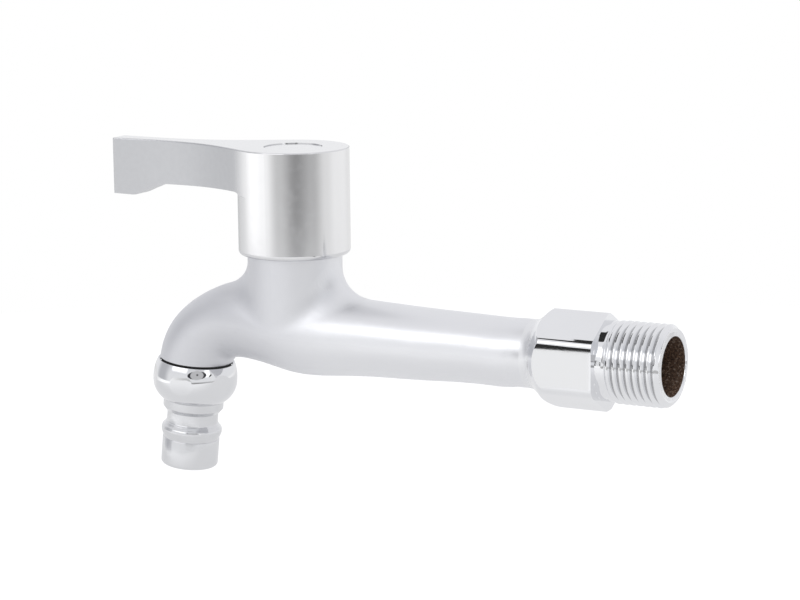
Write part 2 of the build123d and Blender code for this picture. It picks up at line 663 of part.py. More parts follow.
def outlet_nut():
    """A barrel-shaped union nut with an inner lip and round wrench flats."""
    top_sag = NUT_RADIUS - NUT_TOP_RADIUS
    upper_length = NUT_WIDEST + NUT_COLLAR
    upper_arc = (top_sag**2 + upper_length**2) / (2 * top_sag)
    upper_bulge = sqrt(upper_arc**2 - (upper_length / 2) ** 2) - (upper_arc - NUT_RADIUS)
    lower_centre = NUT_RADIUS - NUT_LOWER_ARC
    lower_length = NUT_LENGTH - NUT_WIDEST
    foot_radius = lower_centre + sqrt(NUT_LOWER_ARC**2 - lower_length**2)
    lower_bulge = lower_centre + sqrt(NUT_LOWER_ARC**2 - (lower_length / 2) ** 2)
    outline = ThreePointArc(
        (NUT_TOP_RADIUS, -NUT_COLLAR),
        (upper_bulge, NUT_WIDEST - upper_length / 2),
        (NUT_RADIUS, NUT_WIDEST),
    )
    outline = outline + ThreePointArc(
        (NUT_RADIUS, NUT_WIDEST),
        (lower_bulge, NUT_WIDEST + lower_length / 2),
        (foot_radius, NUT_LENGTH),
    )
    outline = outline + Polyline(
        (foot_radius, NUT_LENGTH), (0, NUT_LENGTH), (0, -NUT_COLLAR), (NUT_TOP_RADIUS, -NUT_COLLAR)
    )
    nut = revolve(Plane.XZ * make_face(outline), Axis.Z, 360)
    reach = NUT_RADIUS - NUT_FLAT_DEPTH
    for number in range(NUT_FLATS):
        angle = NUT_FLAT_ANGLE + 360 * number / NUT_FLATS
        cutter = Pos(reach, 0, NUT_WIDEST) * (Rot(0, 90, 0) * Cylinder(NUT_FLAT_RADIUS, 3, align=UPWARD))
        nut = nut - Rot(0, 0, -angle) * cutter
    nut = nut - disc(OUTLET_RADIUS + NUT_COLLAR_GAP, -2, NOSE_ENTRY + 0.3)
    nut = nut - disc(NUT_BORE, -1, LIP_TOP) - disc(LIP_BORE, LIP_TOP - 1, NUT_LENGTH + 1)
    return OUTLET * nut


def nozzle_gasket():
    return OUTLET * ring(FLANGE_RADIUS - 0.05, SPOUT_BORE - 0.4, SPIGOT_LENGTH, GASKET_END)


def hose_nozzle():
    """The nozzle: a flange inside the nut, a collar, a hose groove, a bead and a barrel."""
    bead_rise = BEAD_MIDDLE - GROOVE_END
    line_top = BEAD_END
    shaft = turned(
        [
            (0, GASKET_END),
            (FLANGE_RADIUS, GASKET_END),
            (FLANGE_RADIUS, LIP_TOP),
            (COLLAR_RADIUS, LIP_TOP),
            (COLLAR_RADIUS, COLLAR_END - COLLAR_CHAMFER),
            (GROOVE_RADIUS + 0.25, COLLAR_END),
            (GROOVE_RADIUS, COLLAR_END),
            (GROOVE_RADIUS, GROOVE_END + bead_rise),
            (BARREL_RADIUS - 0.15, GROOVE_END + bead_rise),
            (BARREL_RADIUS - 0.15, line_top + 0.3),
            (BARREL_RADIUS, line_top + 0.3),
            (BARREL_RADIUS, NOZZLE_LENGTH),
            (0, NOZZLE_LENGTH),
        ]
    )
    shaft = fillet(shaft.edges().group_by(Axis.Z)[-1], NOZZLE_EDGE)
    bead = Spline(
        (GROOVE_RADIUS, GROOVE_END),
        (BEAD_RADIUS - 0.25, BEAD_MIDDLE - 1.1),
        (BEAD_RADIUS, BEAD_MIDDLE),
        (BARREL_RADIUS + 0.1, BEAD_END),
        tangents=[(1, 0.25), (-0.6, 1)],
    )
    bead = bead + Polyline(
        (BARREL_RADIUS + 0.1, BEAD_END), (0, BEAD_END), (0, GROOVE_END), (GROOVE_RADIUS, GROOVE_END)
    )
    bead = revolve(Plane.XZ * make_face(bead), Axis.Z, 360)
    nozzle = shaft + bead - disc(NOZZLE_BORE_RADIUS, GASKET_END - 1, NOZZLE_LENGTH + 1)
    return OUTLET * nozzle


PIECES = {
    "body": tap_body,
    "seat_seal": seat_seal,
    "seal_support_ring": seal_support_ring,
    "fixed_disc": fixed_disc,
    "moving_disc": moving_disc,
    "cartridge_housing": cartridge_housing,
    "cartridge_gasket": cartridge_gasket,
    "slip_washer": slip_washer,
    "spindle": spindle,
    "spindle_o_rings": spindle_o_rings,
    "spindle_clip": spindle_clip,
    "handle": handle,
    "screw_washer": screw_washer,
    "handle_screw": handle_screw,
    "handle_cap": handle_cap,
    "outlet_nut": outlet_nut,
    "nozzle_gasket": nozzle_gasket,
    "hose_nozzle": hose_nozzle,
}

for name, make in PIECES.items():
    export_step(make(), f"parts/{name}.step")
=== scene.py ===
# Looks of the washing machine tap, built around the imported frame. Sizes are in millimetres
# times MM, which gives metres. +Y points into the wall, -Y into the room and +Z up.

from math import asin, cos, pi, radians, sin, sqrt

import bmesh
import bpy
from mathutils import Matrix, Vector


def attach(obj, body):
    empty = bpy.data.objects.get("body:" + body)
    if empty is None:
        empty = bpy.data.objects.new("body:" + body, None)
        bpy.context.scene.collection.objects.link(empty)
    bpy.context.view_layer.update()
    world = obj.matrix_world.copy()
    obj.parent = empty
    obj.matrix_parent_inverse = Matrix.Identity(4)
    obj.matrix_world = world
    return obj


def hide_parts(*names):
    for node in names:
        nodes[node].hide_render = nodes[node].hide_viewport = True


MM = 0.001

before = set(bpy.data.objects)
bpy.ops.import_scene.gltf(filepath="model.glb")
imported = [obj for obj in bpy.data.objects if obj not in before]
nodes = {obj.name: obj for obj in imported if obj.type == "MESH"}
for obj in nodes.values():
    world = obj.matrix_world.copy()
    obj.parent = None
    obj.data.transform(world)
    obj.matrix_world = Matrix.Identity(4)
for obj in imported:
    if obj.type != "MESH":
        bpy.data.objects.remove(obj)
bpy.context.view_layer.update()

# Camera, worked out from the photograph's perspective
CAMERA_PLACE = Vector((603.36, 268.99, 136.96)) * MM
CAMERA_AZIMUTH = radians(118.54)
CAMERA_ELEVATION = radians(10.41)
CAMERA_ROLL = radians(-0.634)
CAMERA_LENS = 121.5
SENSOR_WIDTH = 36.0

# Sizes of the pieces that are made here. Most of them repeat the construction's, and the
# rest are details that only the looks have.

# Places of the casting, and the middle lines of its waterways
VALVE_DISTANCE = 90.5
NECK_TOP = 23.5
CHAMBER_BACK = -78.0
CHAMBER_FRONT = -101.0
CHAMBER_LEVEL = -2.0
NECK_FOOT = 8.0
SPOUT_SIDE = -100.0
SPOUT_BEND = -113.0
SPOUT_LEVEL = 2.0
OUTLET_START = Vector((0, -122.1, -10.68))
OUTLET_TILT = radians(6.3)
OUTLET_DIRECTION = Vector((0, -sin(OUTLET_TILT), -cos(OUTLET_TILT)))

# Inlet thread
INLET_MAJOR = 20.955 / 2
INLET_PITCH = 1.814
INLET_DEPTH = 1.05
INLET_LENGTH = 17.2
INLET_THREAD_END = INLET_LENGTH - 0.001
INLET_CHAMFER = 1.0
INLET_SHANK = 10.2
INLET_SHANK_LENGTH = 2.1
INLET_BORE = 7.5975
POLISHED_START = -21.5

# Spigot thread inside the union nut, and the spout's end over the nut
SPIGOT_MAJOR = 9.45
SPIGOT_DEPTH = 0.5
SPIGOT_START = 0.2
SPIGOT_LENGTH = 4.4
SPIGOT_PITCH = 1.0
SPIGOT_CHAMFER = 0.4
SPIGOT_RUN_OUT = 0.3
SPIGOT_SEAM = 0.05
SPOUT_BORE = 6.5
SPOUT_END = 0.2
SPOUT_RADIUS = 9.95
GROOVE_TOP = -0.72
GROOVE_DEPTH = 0.45
GROOVE_EDGE = 0.03
SPOUT_END_LENGTH = 4.0
SPOUT_SKIN = 0.6

# Union nut, by its heights on the outlet axis
NUT_TOP_RADIUS = 10.45
NUT_RADIUS = 11.45
NUT_COLLAR = 0.2
NUT_RIM = 0.12
NUT_MOUTH_RADIUS = 10.15
NUT_MOUTH_DEPTH = 0.5
NUT_LENGTH = 10.65
NUT_WIDEST = 4.9
NUT_LOWER_ARC = 7.0
NUT_FLAT_DEPTH = 0.45
NUT_FLATS = 6
NUT_FLAT_ANGLE = 12.0
NUT_FLAT_BAND = 1.5
NUT_THREAD_GAP = 0.06
NUT_BORE_GAP = 0.05
LIP_TOP = 7.8
LIP_BORE = 8.24

# Hose nozzle, by its heights on the outlet axis
GASKET_END = 5.9
FLANGE_RADIUS = 8.85
FLANGE_EDGE = 0.1
COLLAR_RADIUS = 8.15
COLLAR_END = 14.0
COLLAR_CHAMFER = 1.1
COLLAR_ROUNDING = 0.25
COLLAR_EDGE_IN = 0.2
COLLAR_EDGE_OVER = 0.1
GROOVE_RADIUS = 6.93
GROOVE_END = 17.2
GROOVE_ROUNDING = 0.25
GROOVE_FOOT = 0.3
GROOVE_RISE = 0.05
GROOVE_LEAN = 0.02
BEAD_MIDDLE = 19.3
BEAD_RADIUS = 8.2
BEAD_EDGE_IN = 0.22
BEAD_EDGE_BEFORE = 1.1
BEAD_END = 21.1
LEDGE_DEPTH = 0.15
LEDGE_LENGTH = 0.3
BARREL_RADIUS = 7.72
BARREL_START = 0.45
BARREL_ROUNDING = 1.0
NOZZLE_BORE = 5.3
NOZZLE_BORE_EDGE = 0.3
NOZZLE_LENGTH = 29.1

# Cap, cartridge and handle screw, on the valve axis
CAP_RADIUS = 7.65
CAP_BOTTOM = 46.8
CAP_TOP = 49.0
CAP_EDGE = 0.15
CAP_CROWN = 0.04
PLUG_RADIUS = 4.25
PLUG_WALL = 0.9
PLUG_DEPTH = 1.0
CARTRIDGE_FLANGE = 24.5
CARTRIDGE_THREAD_BOTTOM = 14.0
CARTRIDGE_CREST = 9.55
CARTRIDGE_DEPTH = 0.4
CARTRIDGE_PITCH = 1.0
SCREW_SEAT = 43.7
SCREW_LENGTH = 10.0
SCREW_CREST = 2.0
SCREW_DEPTH = 0.38
SCREW_PITCH = 0.7
SMALL_CHAMFER = 0.3

# A quarter circle's rise over its chord, as a share of its radius
QUARTER_SAG = 0.2929

INLET_AXIS = Matrix.Rotation(radians(-90), 4, "X")
OUTLET_ACROSS = OUTLET_DIRECTION.cross(Vector((1, 0, 0)))
OUTLET_AXIS = Matrix.Translation(OUTLET_START) @ Matrix(
    (Vector((1, 0, 0)), OUTLET_ACROSS, OUTLET_DIRECTION)
).transposed().to_4x4()
OUTLET_LEVEL = OUTLET_AXIS.inverted()
VALVE_AXIS = Matrix.Translation((0, -VALVE_DISTANCE, 0))
UPSIDE_DOWN = Matrix.Rotation(pi, 4, "X")

# Margins for finding the faces that a thread or the groove takes the place of
SEAM = 0.01
CLEAR = 0.1
CREST_BAND = 0.2
BEYOND = 1.0
HEIGHT_SLACK = 0.02

ROUND_STEPS = 160
SMOOTH_ANGLE = radians(32)
WELD = 0.0005
COPY_WELD = 0.001
CUT_TOLERANCE = 0.00001


# Camera and view

def make_camera():
    """The camera at the photograph's place, with its small roll."""
    across = cos(CAMERA_ELEVATION)
    back = Vector(
        (sin(CAMERA_AZIMUTH) * across, -cos(CAMERA_AZIMUTH) * across, sin(CAMERA_ELEVATION))
    )
    right = Vector((cos(CAMERA_AZIMUTH), sin(CAMERA_AZIMUTH), 0))
    up = back.cross(right)
    turned_right = cos(CAMERA_ROLL) * right + sin(CAMERA_ROLL) * up
    turned_up = cos(CAMERA_ROLL) * up - sin(CAMERA_ROLL) * right
    data = bpy.data.cameras.new("camera")
    data.lens = CAMERA_LENS
    data.sensor_width = SENSOR_WIDTH
    camera = bpy.data.objects.new("camera", data)
    bpy.context.scene.collection.objects.link(camera)
    turn = Matrix((turned_right, turned_up, back)).transposed()
    camera.matrix_world = Matrix.Translation(CAMERA_PLACE) @ turn.to_4x4()
    bpy.context.scene.camera = camera


# Node helpers

def add_node(tree, kind, **settings):
    """A node with its settings and its input values or links, named by their sockets."""
    node = tree.nodes.new(kind)
    inputs = settings.pop("inputs", {})
    for name, value in settings.items():
        setattr(node, name, value)
    for name, value in inputs.items():
        if isinstance(value, bpy.types.NodeSocket):
            tree.links.new(value, node.inputs[name])
        else:
            node.inputs[name].default_value = value
    return node


def math(tree, operation, first, second=0.0, third=0.0):
    """A sum on values or on the outputs of nodes."""
    values = {0: first, 1: second, 2: third}
    return add_node(tree, "ShaderNodeMath", operation=operation, inputs=values).outputs[0]


def vector_math(tree, operation, first, second=(0, 0, 0), output="Vector"):
    """A sum on vectors or colours."""
    values = {0: first, 1: second}
    return add_node(tree, "ShaderNodeVectorMath", operation=operation, inputs=values).outputs[output]


def split(tree, vector):
    """The X, Y and Z parts of a vector."""
    return add_node(tree, "ShaderNodeSeparateXYZ", inputs={0: vector}).outputs


def fade(tree, value, low, high, start=0.0, end=1.0):
    """A smooth step of a value from start to end."""
    node = add_node(
        tree,
        "ShaderNodeMapRange",
        interpolation_type="SMOOTHSTEP",
        inputs={
            "Value": value,
            "From Min": low,
            "From Max": high,
            "To Min": start,
            "To Max": end,
        },
    )
    return node.outputs["Result"]


def fade_between(tree, place, stretch, start=0.0, end=1.0):
    """A smooth step over a stretch of the tap in millimetres."""
    low, high = stretch
    return fade(tree, place, low * MM, high * MM, start, end)


def mix_value(tree, share, first, second):
    """A value between two, by a share from 0 to 1."""
    values = {0: share, 2: first, 3: second}
    return add_node(tree, "ShaderNodeMix", data_type="FLOAT", inputs=values).outputs[0]


def mix_colour(tree, share, first, second):
    """A colour between two, by a share from 0 to 1."""
    values = {0: share, 6: first, 7: second}
    return add_node(tree, "ShaderNodeMix", data_type="RGBA", inputs=values).outputs[2]


def noise(tree, where, scale, detail=3.0, roughness=0.55):
    """Cloudy noise of a scale per metre."""
    node = add_node(
        tree,
        "ShaderNodeTexNoise",
        inputs={"Vector": where, "Scale": scale, "Detail": detail, "Roughness": roughness},
    )
    return node.outputs["Fac"]


def bump(tree, height, distance, under=None):
    """A fine relief of a depth in metres, over another one if that is given."""
    node = add_node(
        tree, "ShaderNodeBump", inputs={"Height": height, "Distance": distance, "Strength": 1.0}
    )
    if under is not None:
        tree.links.new(under, node.inputs["Normal"])
    return node.outputs["Normal"]


def start_material(name):
    """An empty material with its shader and the object's coordinates."""
    material = bpy.data.materials.new(name)
    material.use_nodes = True
    tree = material.node_tree
    shader = tree.nodes["Principled BSDF"]
    where = add_node(tree, "ShaderNodeTexCoord").outputs["Object"]
    return material, tree, shader, where


def darker(tone, share):
    """A tone brought down to a share of itself."""
    return tuple(share * part for part in tone[:3]) + (1,)


def feed(tree, value, shader, socket):
    """Links a value to one of the shader's sockets."""
    tree.links.new(value, shader.inputs[socket])


def fed_by(shader, socket):
    """What feeds one of the shader's sockets already."""
    return shader.inputs[socket].links[0].from_socket


# Studio

SKY = (0.74, 0.75, 0.78, 1)
HORIZON = (0.95, 0.955, 0.97, 1)
WHITE = (1.0, 1.0, 1.0, 1)
SKY_STRETCH = (0.1, 0.75)
FLOOR_DROP = -85.0
FLOOR_MIDDLE = -70.0
FLOOR_RADIUS = 520.0
FLOOR_STRETCH = (40.0, 300.0)
FLOOR_DIM_GLOW = 0.42
FLOOR_GLOW = 0.62

# Panels of the studio: the place as azimuth and elevation, the half width, the half height
# and the soft edge, all in degrees as seen from the tap, then the colour, and whether the
# panel is oval
CEILING = ((-150, 70), 60, 50, 50, (0.90, 0.90, 0.92, 1), False)
DARK_SIDE = ((-72, 12), 19, 30, 26, (0.58, 0.585, 0.61, 1), False)
SOFTBOX = ((-16, 32), 22, 12, 9, (1.85, 1.85, 1.87, 1), False)
LAMP = ((66, 14), 7, 7, 4, (1.7, 1.7, 1.7, 1), False)
STAND = ((37, 13), 26, 10, 6, (0.06, 0.06, 0.065, 1), True)
STAND_FRONT = ((37, 13), 18, 11, 8, (0.62, 0.62, 0.63, 1), True)
LENS = ((38, 14), 2.5, 2.5, 2, (0.1, 0.1, 0.1, 1), True)


def direction(azimuth, elevation):
    """A unit vector, azimuth from +X towards +Y and elevation from the floor, in degrees."""
    flat = cos(radians(elevation))
    return Vector(
        (flat * cos(radians(azimuth)), flat * sin(radians(azimuth)), sin(radians(elevation)))
    )


def light_panel(tree, ray, under, place, half_width, half_height, edge, value, oval):
    """One soft-edged panel of the studio, laid over the colour of what is behind it."""
    azimuth, elevation = place
    middle = direction(azimuth, elevation)
    side = direction(azimuth + 90, 0)
    rise = middle.cross(side)
    depth = math(tree, "MAXIMUM", vector_math(tree, "DOT_PRODUCT", ray, middle, "Value"), 0.001)
    softness = sin(radians(edge)) / 2
    offsets = []
    shares = []
    for way, half in ((side, half_width), (rise, half_height)):
        offset = math(tree, "DIVIDE", vector_math(tree, "DOT_PRODUCT", ray, way, "Value"), depth)
        offset = math(tree, "ABSOLUTE", offset)
        reach = sin(radians(half)) / cos(radians(half))
        offsets.append(math(tree, "DIVIDE", offset, reach))
        shares.append(fade(tree, offset, reach - softness, reach + softness, 1.0, 0.0))
    share = math(tree, "MULTIPLY", shares[0], shares[1])
    if oval:
        squares = [math(tree, "MULTIPLY", offset, offset) for offset in offsets]
        ring = math(tree, "ADD", squares[0], squares[1])
        share = fade(tree, ring, 1 - softness, 1 + softness, 1.0, 0.0)
    return mix_colour(tree, share, under, value)


# Brightness of the wall round the table at azimuths from +X towards +Y, in degrees. Its
# bottom and its top are heights of a ray of length 1.
WALL_TONES = (
    (-180, 0.95),
    (-140, 0.75),
    (-100, 1.00),
    (-60, 1.45),
    (-35, 1.30),
    (0, 0.68),
    (35, 0.31),
    (70, 0.54),
    (100, 0.92),
    (125, 1.08),
    (150, 1.08),
    (180, 0.95),
)
WALL_BOTTOM = -0.175
WALL_TOP = -0.075
WALL_EDGE = 0.02


def light_ring(tree, ray, under):
    """The low wall round the table, lit unevenly."""
    parts = split(tree, ray)
    angle = math(tree, "ARCTAN2", parts["Y"], parts["X"])
    share = math(tree, "MULTIPLY_ADD", angle, 0.5 / pi, 0.5)
    ramp = add_node(tree, "ShaderNodeValToRGB", inputs={0: share})
    ramp.color_ramp.interpolation = "EASE"
    spots = ramp.color_ramp.elements
    while len(spots) < len(WALL_TONES):
        spots.new(0.5)
    for spot, (azimuth, tone) in zip(spots, WALL_TONES):
        spot.position = azimuth / 360 + 0.5
        spot.color = (tone, tone, tone, 1)
    low = fade(tree, parts["Z"], WALL_BOTTOM - WALL_EDGE, WALL_BOTTOM + WALL_EDGE)
    high = fade(tree, parts["Z"], WALL_TOP - WALL_EDGE, WALL_TOP + WALL_EDGE, 1.0, 0.0)
    return mix_colour(tree, math(tree, "MULTIPLY", low, high), under, ramp.outputs["Color"])


def make_world():
    """A pale studio: white behind the tap, and light and dark panels that the chrome shows."""
    world = bpy.data.worlds.new("studio")
    bpy.context.scene.world = world
    world.use_nodes = True
    tree = world.node_tree
    back = tree.nodes["Background"]
    ray = add_node(tree, "ShaderNodeTexCoord").outputs["Generated"]
    rise = fade(tree, split(tree, ray)["Z"], *SKY_STRETCH)
    colour = mix_colour(tree, rise, HORIZON, SKY)
    for panel in (CEILING, DARK_SIDE, SOFTBOX):
        colour = light_panel(tree, ray, colour, *panel)
    # The handle's skirt shows the wall, and the camera's stand and lens before it
    colour = light_ring(tree, ray, colour)
    for panel in (LAMP, STAND, STAND_FRONT, LENS):
        colour = light_panel(tree, ray, colour, *panel)
    seen = add_node(tree, "ShaderNodeLightPath").outputs["Is Camera Ray"]
    tree.links.new(mix_colour(tree, seen, colour, WHITE), back.inputs["Color"])
    back.inputs["Strength"].default_value = 1.0


def stage_mesh(name, bm, material):
    """A mesh of the studio, not of the tap."""
    mesh = bpy.data.meshes.new(name)
    bm.to_mesh(mesh)
    bm.free()
    mesh.materials.append(material)
    thing = bpy.data.objects.new(name, mesh)
    bpy.context.scene.collection.objects.link(thing)
    return thing


def make_floor():
    """A white floor well below the tap, bright enough to keep only the softest shadow."""
    material, tree, shader, where = start_material("white_floor")
    tree.nodes.remove(shader)
    path = add_node(tree, "ShaderNodeLightPath")
    bright = math(tree, "MAXIMUM", path.outputs["Is Camera Ray"], path.outputs["Is Glossy Ray"])
    bright = math(tree, "MAXIMUM", bright, path.outputs["Is Transmission Ray"])
    glow = add_node(tree, "ShaderNodeEmission", inputs={"Color": WHITE})
    across = split(tree, where)["X"]
    reflected = fade_between(tree, across, FLOOR_STRETCH, FLOOR_DIM_GLOW, FLOOR_GLOW)
    strength = mix_value(tree, path.outputs["Is Camera Ray"], reflected, FLOOR_GLOW)
    tree.links.new(math(tree, "MULTIPLY", bright, strength), glow.inputs["Strength"])
    grain = noise(tree, where, scale=60.0)
    paint = mix_colour(tree, grain, (0.49, 0.49, 0.49, 1), (0.5, 0.5, 0.5, 1))
    matt = add_node(tree, "ShaderNodeBsdfDiffuse", inputs={"Color": paint})
    both = add_node(tree, "ShaderNodeAddShader")
    tree.links.new(glow.outputs[0], both.inputs[0])
    tree.links.new(matt.outputs[0], both.inputs[1])
    tree.links.new(both.outputs[0], tree.nodes["Material Output"].inputs["Surface"])
    bm = bmesh.new()
    bmesh.ops.create_circle(bm, cap_ends=True, radius=FLOOR_RADIUS * MM, segments=96)
    bmesh.ops.translate(bm, verts=bm.verts, vec=(0, FLOOR_MIDDLE * MM, FLOOR_DROP * MM))
    stage_mesh("floor", bm, material)


# Cards beside and over the threaded end, as a name, a tone and (x, y, z) corners
WHITE_TONE = 0.98
BLACK_TONE = 0.03
CARDS = (
    (
        "low_white_card",
        WHITE_TONE,
        ((23.7, -28.0, -13.0), (36.9, -12.2, -15.0), (36.9, -12.2, -1.8), (23.7, -28.0, 0.9)),
    ),
    (
        "hexagon_card",
        BLACK_TONE,
        ((23.7, -28.0, 0.9), (37.6, -11.3, -1.8), (37.6, -11.3, 6.9), (23.7, -28.0, 6.1)),
    ),
    (
        "thread_card",
        BLACK_TONE,
        ((38.2, -10.5, -1.6), (48.0, 1.0, -2.0), (48.0, 1.0, 5.8), (38.2, -10.5, 5.4)),
    ),
    (
        "high_card",
        BLACK_TONE,
        (
            (9, -37, 46),
            (14, -37, 46),
            (27, -20, 46),
            (27, 0, 46),
            (-1, 0, 46),
            (1, -22, 46),
            (9, -24, 46),
        ),
    ),
)


def hide_from_camera(thing):
    """Leaves a studio piece to the reflections alone."""
    thing.visible_camera = False
    thing.visible_diffuse = False
    thing.visible_shadow = False


def make_card(name, tone, corners):
    """A small flat card with a plain tone."""
    material, tree, shader, where = start_material(name)
    tree.nodes.remove(shader)
    glow = add_node(tree, "ShaderNodeEmission", inputs={"Color": (tone, tone, tone, 1)})
    tree.links.new(glow.outputs[0], tree.nodes["Material Output"].inputs["Surface"])
    bm = bmesh.new()
    bmesh.ops.contextual_create(bm, geom=[bm.verts.new(Vector(corner) * MM) for corner in corners])
    hide_from_camera(stage_mesh(name, bm, material))


# Finishes

# Stretches over which a finish or the painted shade in the thread's roots changes, in millimetres
# along the tap
DULLER_STRETCH = (-88.0, -58.0)
GREYER_STRETCH = (-100.0, -74.0)
BUFFED_STRETCH = (-19.5, -16.5)
ROOT_SHADE_START = (1.5, 2.5)
ROOT_SHADE_END = (15.6, 16.2)

# Other stretches: outwards from the inlet axis, and from the valve axis towards the lever
ROOT_STRETCH = (9.5, 9.85)
LEVER_STRETCH = (5.0, 13.0)

# Depths of the fine reliefs
ORANGE_PEEL = 0.0006
LATHE_MARKS = 0.002
POLISHING_WAVES = 0.10
CASTING_GRAIN = 0.35


def chrome_plate(name, tone, roughness, haze=0.03):
    """Plated metal: a faint orange peel, slightly uneven gloss and tone, and fine dust marks."""
    material, tree, shader, where = start_material(name)
    cloud = noise(tree, where, scale=90.0)
    feed(tree, mix_colour(tree, cloud, darker(tone, 0.965), tone), shader, "Base Color")
    shader.inputs["Metallic"].default_value = 1.0
    smear = noise(tree, where, scale=260.0, detail=5.0, roughness=0.7)
    feed(tree, fade(tree, smear, 0.45, 0.75, roughness, roughness + haze), shader, "Roughness")
    skin = noise(tree, where, scale=520.0, detail=2.0)
    feed(tree, bump(tree, skin, ORANGE_PEEL * MM), shader, "Normal")
    return material, tree, shader, where


def body_plate():
    """The casting's plate, duller and softer on the neck and the spout than on the arm."""
    tone = (0.82, 0.825, 0.845, 1)
    material, tree, shader, where = chrome_plate("satin_chrome", tone, roughness=0.31, haze=0.05)
    along = split(tree, where)["Y"]
    duller = fade_between(tree, along, DULLER_STRETCH, 0.15, 0.0)
    feed(tree, math(tree, "ADD", fed_by(shader, "Roughness"), duller), shader, "Roughness")
    colour = fed_by(shader, "Base Color")
    greyer = vector_math(tree, "MULTIPLY", colour, (0.86, 0.86, 0.87))
    share = fade_between(tree, along, GREYER_STRETCH, 1.0, 0.0)
    feed(tree, mix_colour(tree, share, colour, greyer), shader, "Base Color")
    return material


def thread_plate():
    """The plate of the hexagon and the inlet thread, rougher down in the roots, where the plate is
    thinner, and greyed there as painted shade, and satin where the hexagon's cheeks run into the
    arm."""
    tone = (0.84, 0.845, 0.86, 1)
    material, tree, shader, where = chrome_plate("thread_chrome", tone, roughness=0.06)
    along = split(tree, where)["Y"]
    spoke = vector_math(tree, "MULTIPLY", where, (1, 0, 1))
    spoke = vector_math(tree, "LENGTH", spoke, output="Value")
    share = fade_between(tree, spoke, ROOT_STRETCH, 1.0, 0.0)
    share = math(tree, "MULTIPLY", share, fade_between(tree, along, ROOT_SHADE_START))
    share = math(tree, "MULTIPLY", share, fade_between(tree, along, ROOT_SHADE_END, 1.0, 0.0))
    colour = fed_by(shader, "Base Color")
    # Painted shade: the thread's roots are greyed to 0.6 of the plate's colour
    root_painted_shade = vector_math(tree, "MULTIPLY", colour, (0.6, 0.6, 0.6))
    feed(tree, mix_colour(tree, share, colour, root_painted_shade), shader, "Base Color")
    gloss = mix_value(tree, share, fed_by(shader, "Roughness"), 0.14)
    buffed = fade_between(tree, along, BUFFED_STRETCH)
    feed(tree, mix_value(tree, buffed, 0.32, gloss), shader, "Roughness")
    return material


def handle_plate():
    """The handle's plate: the skirt and the top are polished, and the lever's sides are satin, with
    their colour darkened as painted shade.
    """
    tone = (0.76, 0.76, 0.77, 1)
    material, tree, shader, where = chrome_plate("handle_plate", tone, roughness=0.10)
    place = vector_math(tree, "SUBTRACT", where, (0, -VALVE_DISTANCE * MM, 0))
    towards_tip = vector_math(tree, "DOT_PRODUCT", place, (0, -1, 0), "Value")
    lever = fade_between(tree, towards_tip, LEVER_STRETCH)
    facing = add_node(tree, "ShaderNodeNewGeometry").outputs["True Normal"]
    side = fade(tree, split(tree, facing)["Z"], 0.5, 0.9, 1.0, 0.0)
    satin = math(tree, "MULTIPLY", lever, side)
    # Painted shade: the lever's sides get a grained colour darker than the top's, besides their
    # satin roughness
    grain = noise(tree, where, scale=700.0, detail=4.0)
    brushed_painted_shade = mix_colour(tree, grain, (0.53, 0.535, 0.55, 1), (0.58, 0.585, 0.60, 1))
    colour = mix_colour(tree, satin, fed_by(shader, "Base Color"), brushed_painted_shade)
    feed(tree, colour, shader, "Base Color")
    feed(tree, mix_value(tree, satin, fed_by(shader, "Roughness"), 0.30), shader, "Roughness")
    return material


def raw_casting():
    """The rough brown inside of the casting, with pale specks."""
    material, tree, shader, where = start_material("raw_casting")
    coarse = noise(tree, where, scale=1500.0, detail=4.0, roughness=0.85)
    cloud = noise(tree, where, scale=180.0)
    tones = add_node(tree, "ShaderNodeValToRGB", inputs={0: coarse})
    spots = tones.color_ramp.elements
    spots[0].position = 0.38
    spots[0].color = (0.04, 0.022, 0.014, 1)
    spots[1].position = 0.58
    spots[1].color = (0.26, 0.15, 0.09, 1)
    speck = spots.new(0.64)
    speck.color = (0.75, 0.68, 0.60, 1)
    dark = vector_math(tree, "MULTIPLY", tones.outputs["Color"], (0.6, 0.6, 0.6))
    feed(tree, mix_colour(tree, cloud, dark, tones.outputs["Color"]), shader, "Base Color")
    shader.inputs["Roughness"].default_value = 0.85
    feed(tree, bump(tree, coarse, CASTING_GRAIN * MM), shader, "Normal")
    return material


def turned_metal(name, tone, axis, roughness, pitch=0.12):
    """Metal with fine rings left by the lathe along an axis."""
    material, tree, shader, where = start_material(name)
    along = vector_math(tree, "DOT_PRODUCT", where, axis, "Value")
    wobble = noise(tree, where, scale=150.0)
    phase = math(tree, "MULTIPLY", along, 2 * pi / (pitch * MM))
    rings = math(tree, "SINE", math(tree, "ADD", phase, math(tree, "MULTIPLY", wobble, 2.0)))
    rings = math(tree, "MULTIPLY_ADD", rings, 0.5, 0.5)
    cloud = noise(tree, where, scale=120.0)
    feed(tree, mix_colour(tree, cloud, darker(tone, 0.88), tone), shader, "Base Color")
    shader.inputs["Metallic"].default_value = 1.0
    feed(tree, math(tree, "MULTIPLY_ADD", rings, 0.05, roughness), shader, "Roughness")
    feed(tree, bump(tree, rings, LATHE_MARKS * MM), shader, "Normal")
    return material, tree, shader, where


def nozzle_plate():
    """Plated turned metal whose polishing left shallow waves along the nozzle."""
    tone = (0.76, 0.765, 0.78, 1)
    axis = tuple(OUTLET_DIRECTION)
    material, tree, shader, where = turned_metal("nozzle_chrome", tone, axis, 0.15, pitch=0.3)
    spoke = vector_math(tree, "SUBTRACT", where, tuple(OUTLET_START * MM))
    along = vector_math(tree, "DOT_PRODUCT", spoke, axis, "Value")
    inputs = {0: axis, "Scale": along}
    back = add_node(tree, "ShaderNodeVectorMath", operation="SCALE", inputs=inputs)
    spoke = vector_math(tree, "NORMALIZE", vector_math(tree, "SUBTRACT", spoke, back.outputs[0]))
    waves = noise(tree, spoke, scale=4.5, detail=1.0)
    rings = fed_by(shader, "Normal")
    feed(tree, bump(tree, waves, POLISHING_WAVES * MM, rings), shader, "Normal")
    return material


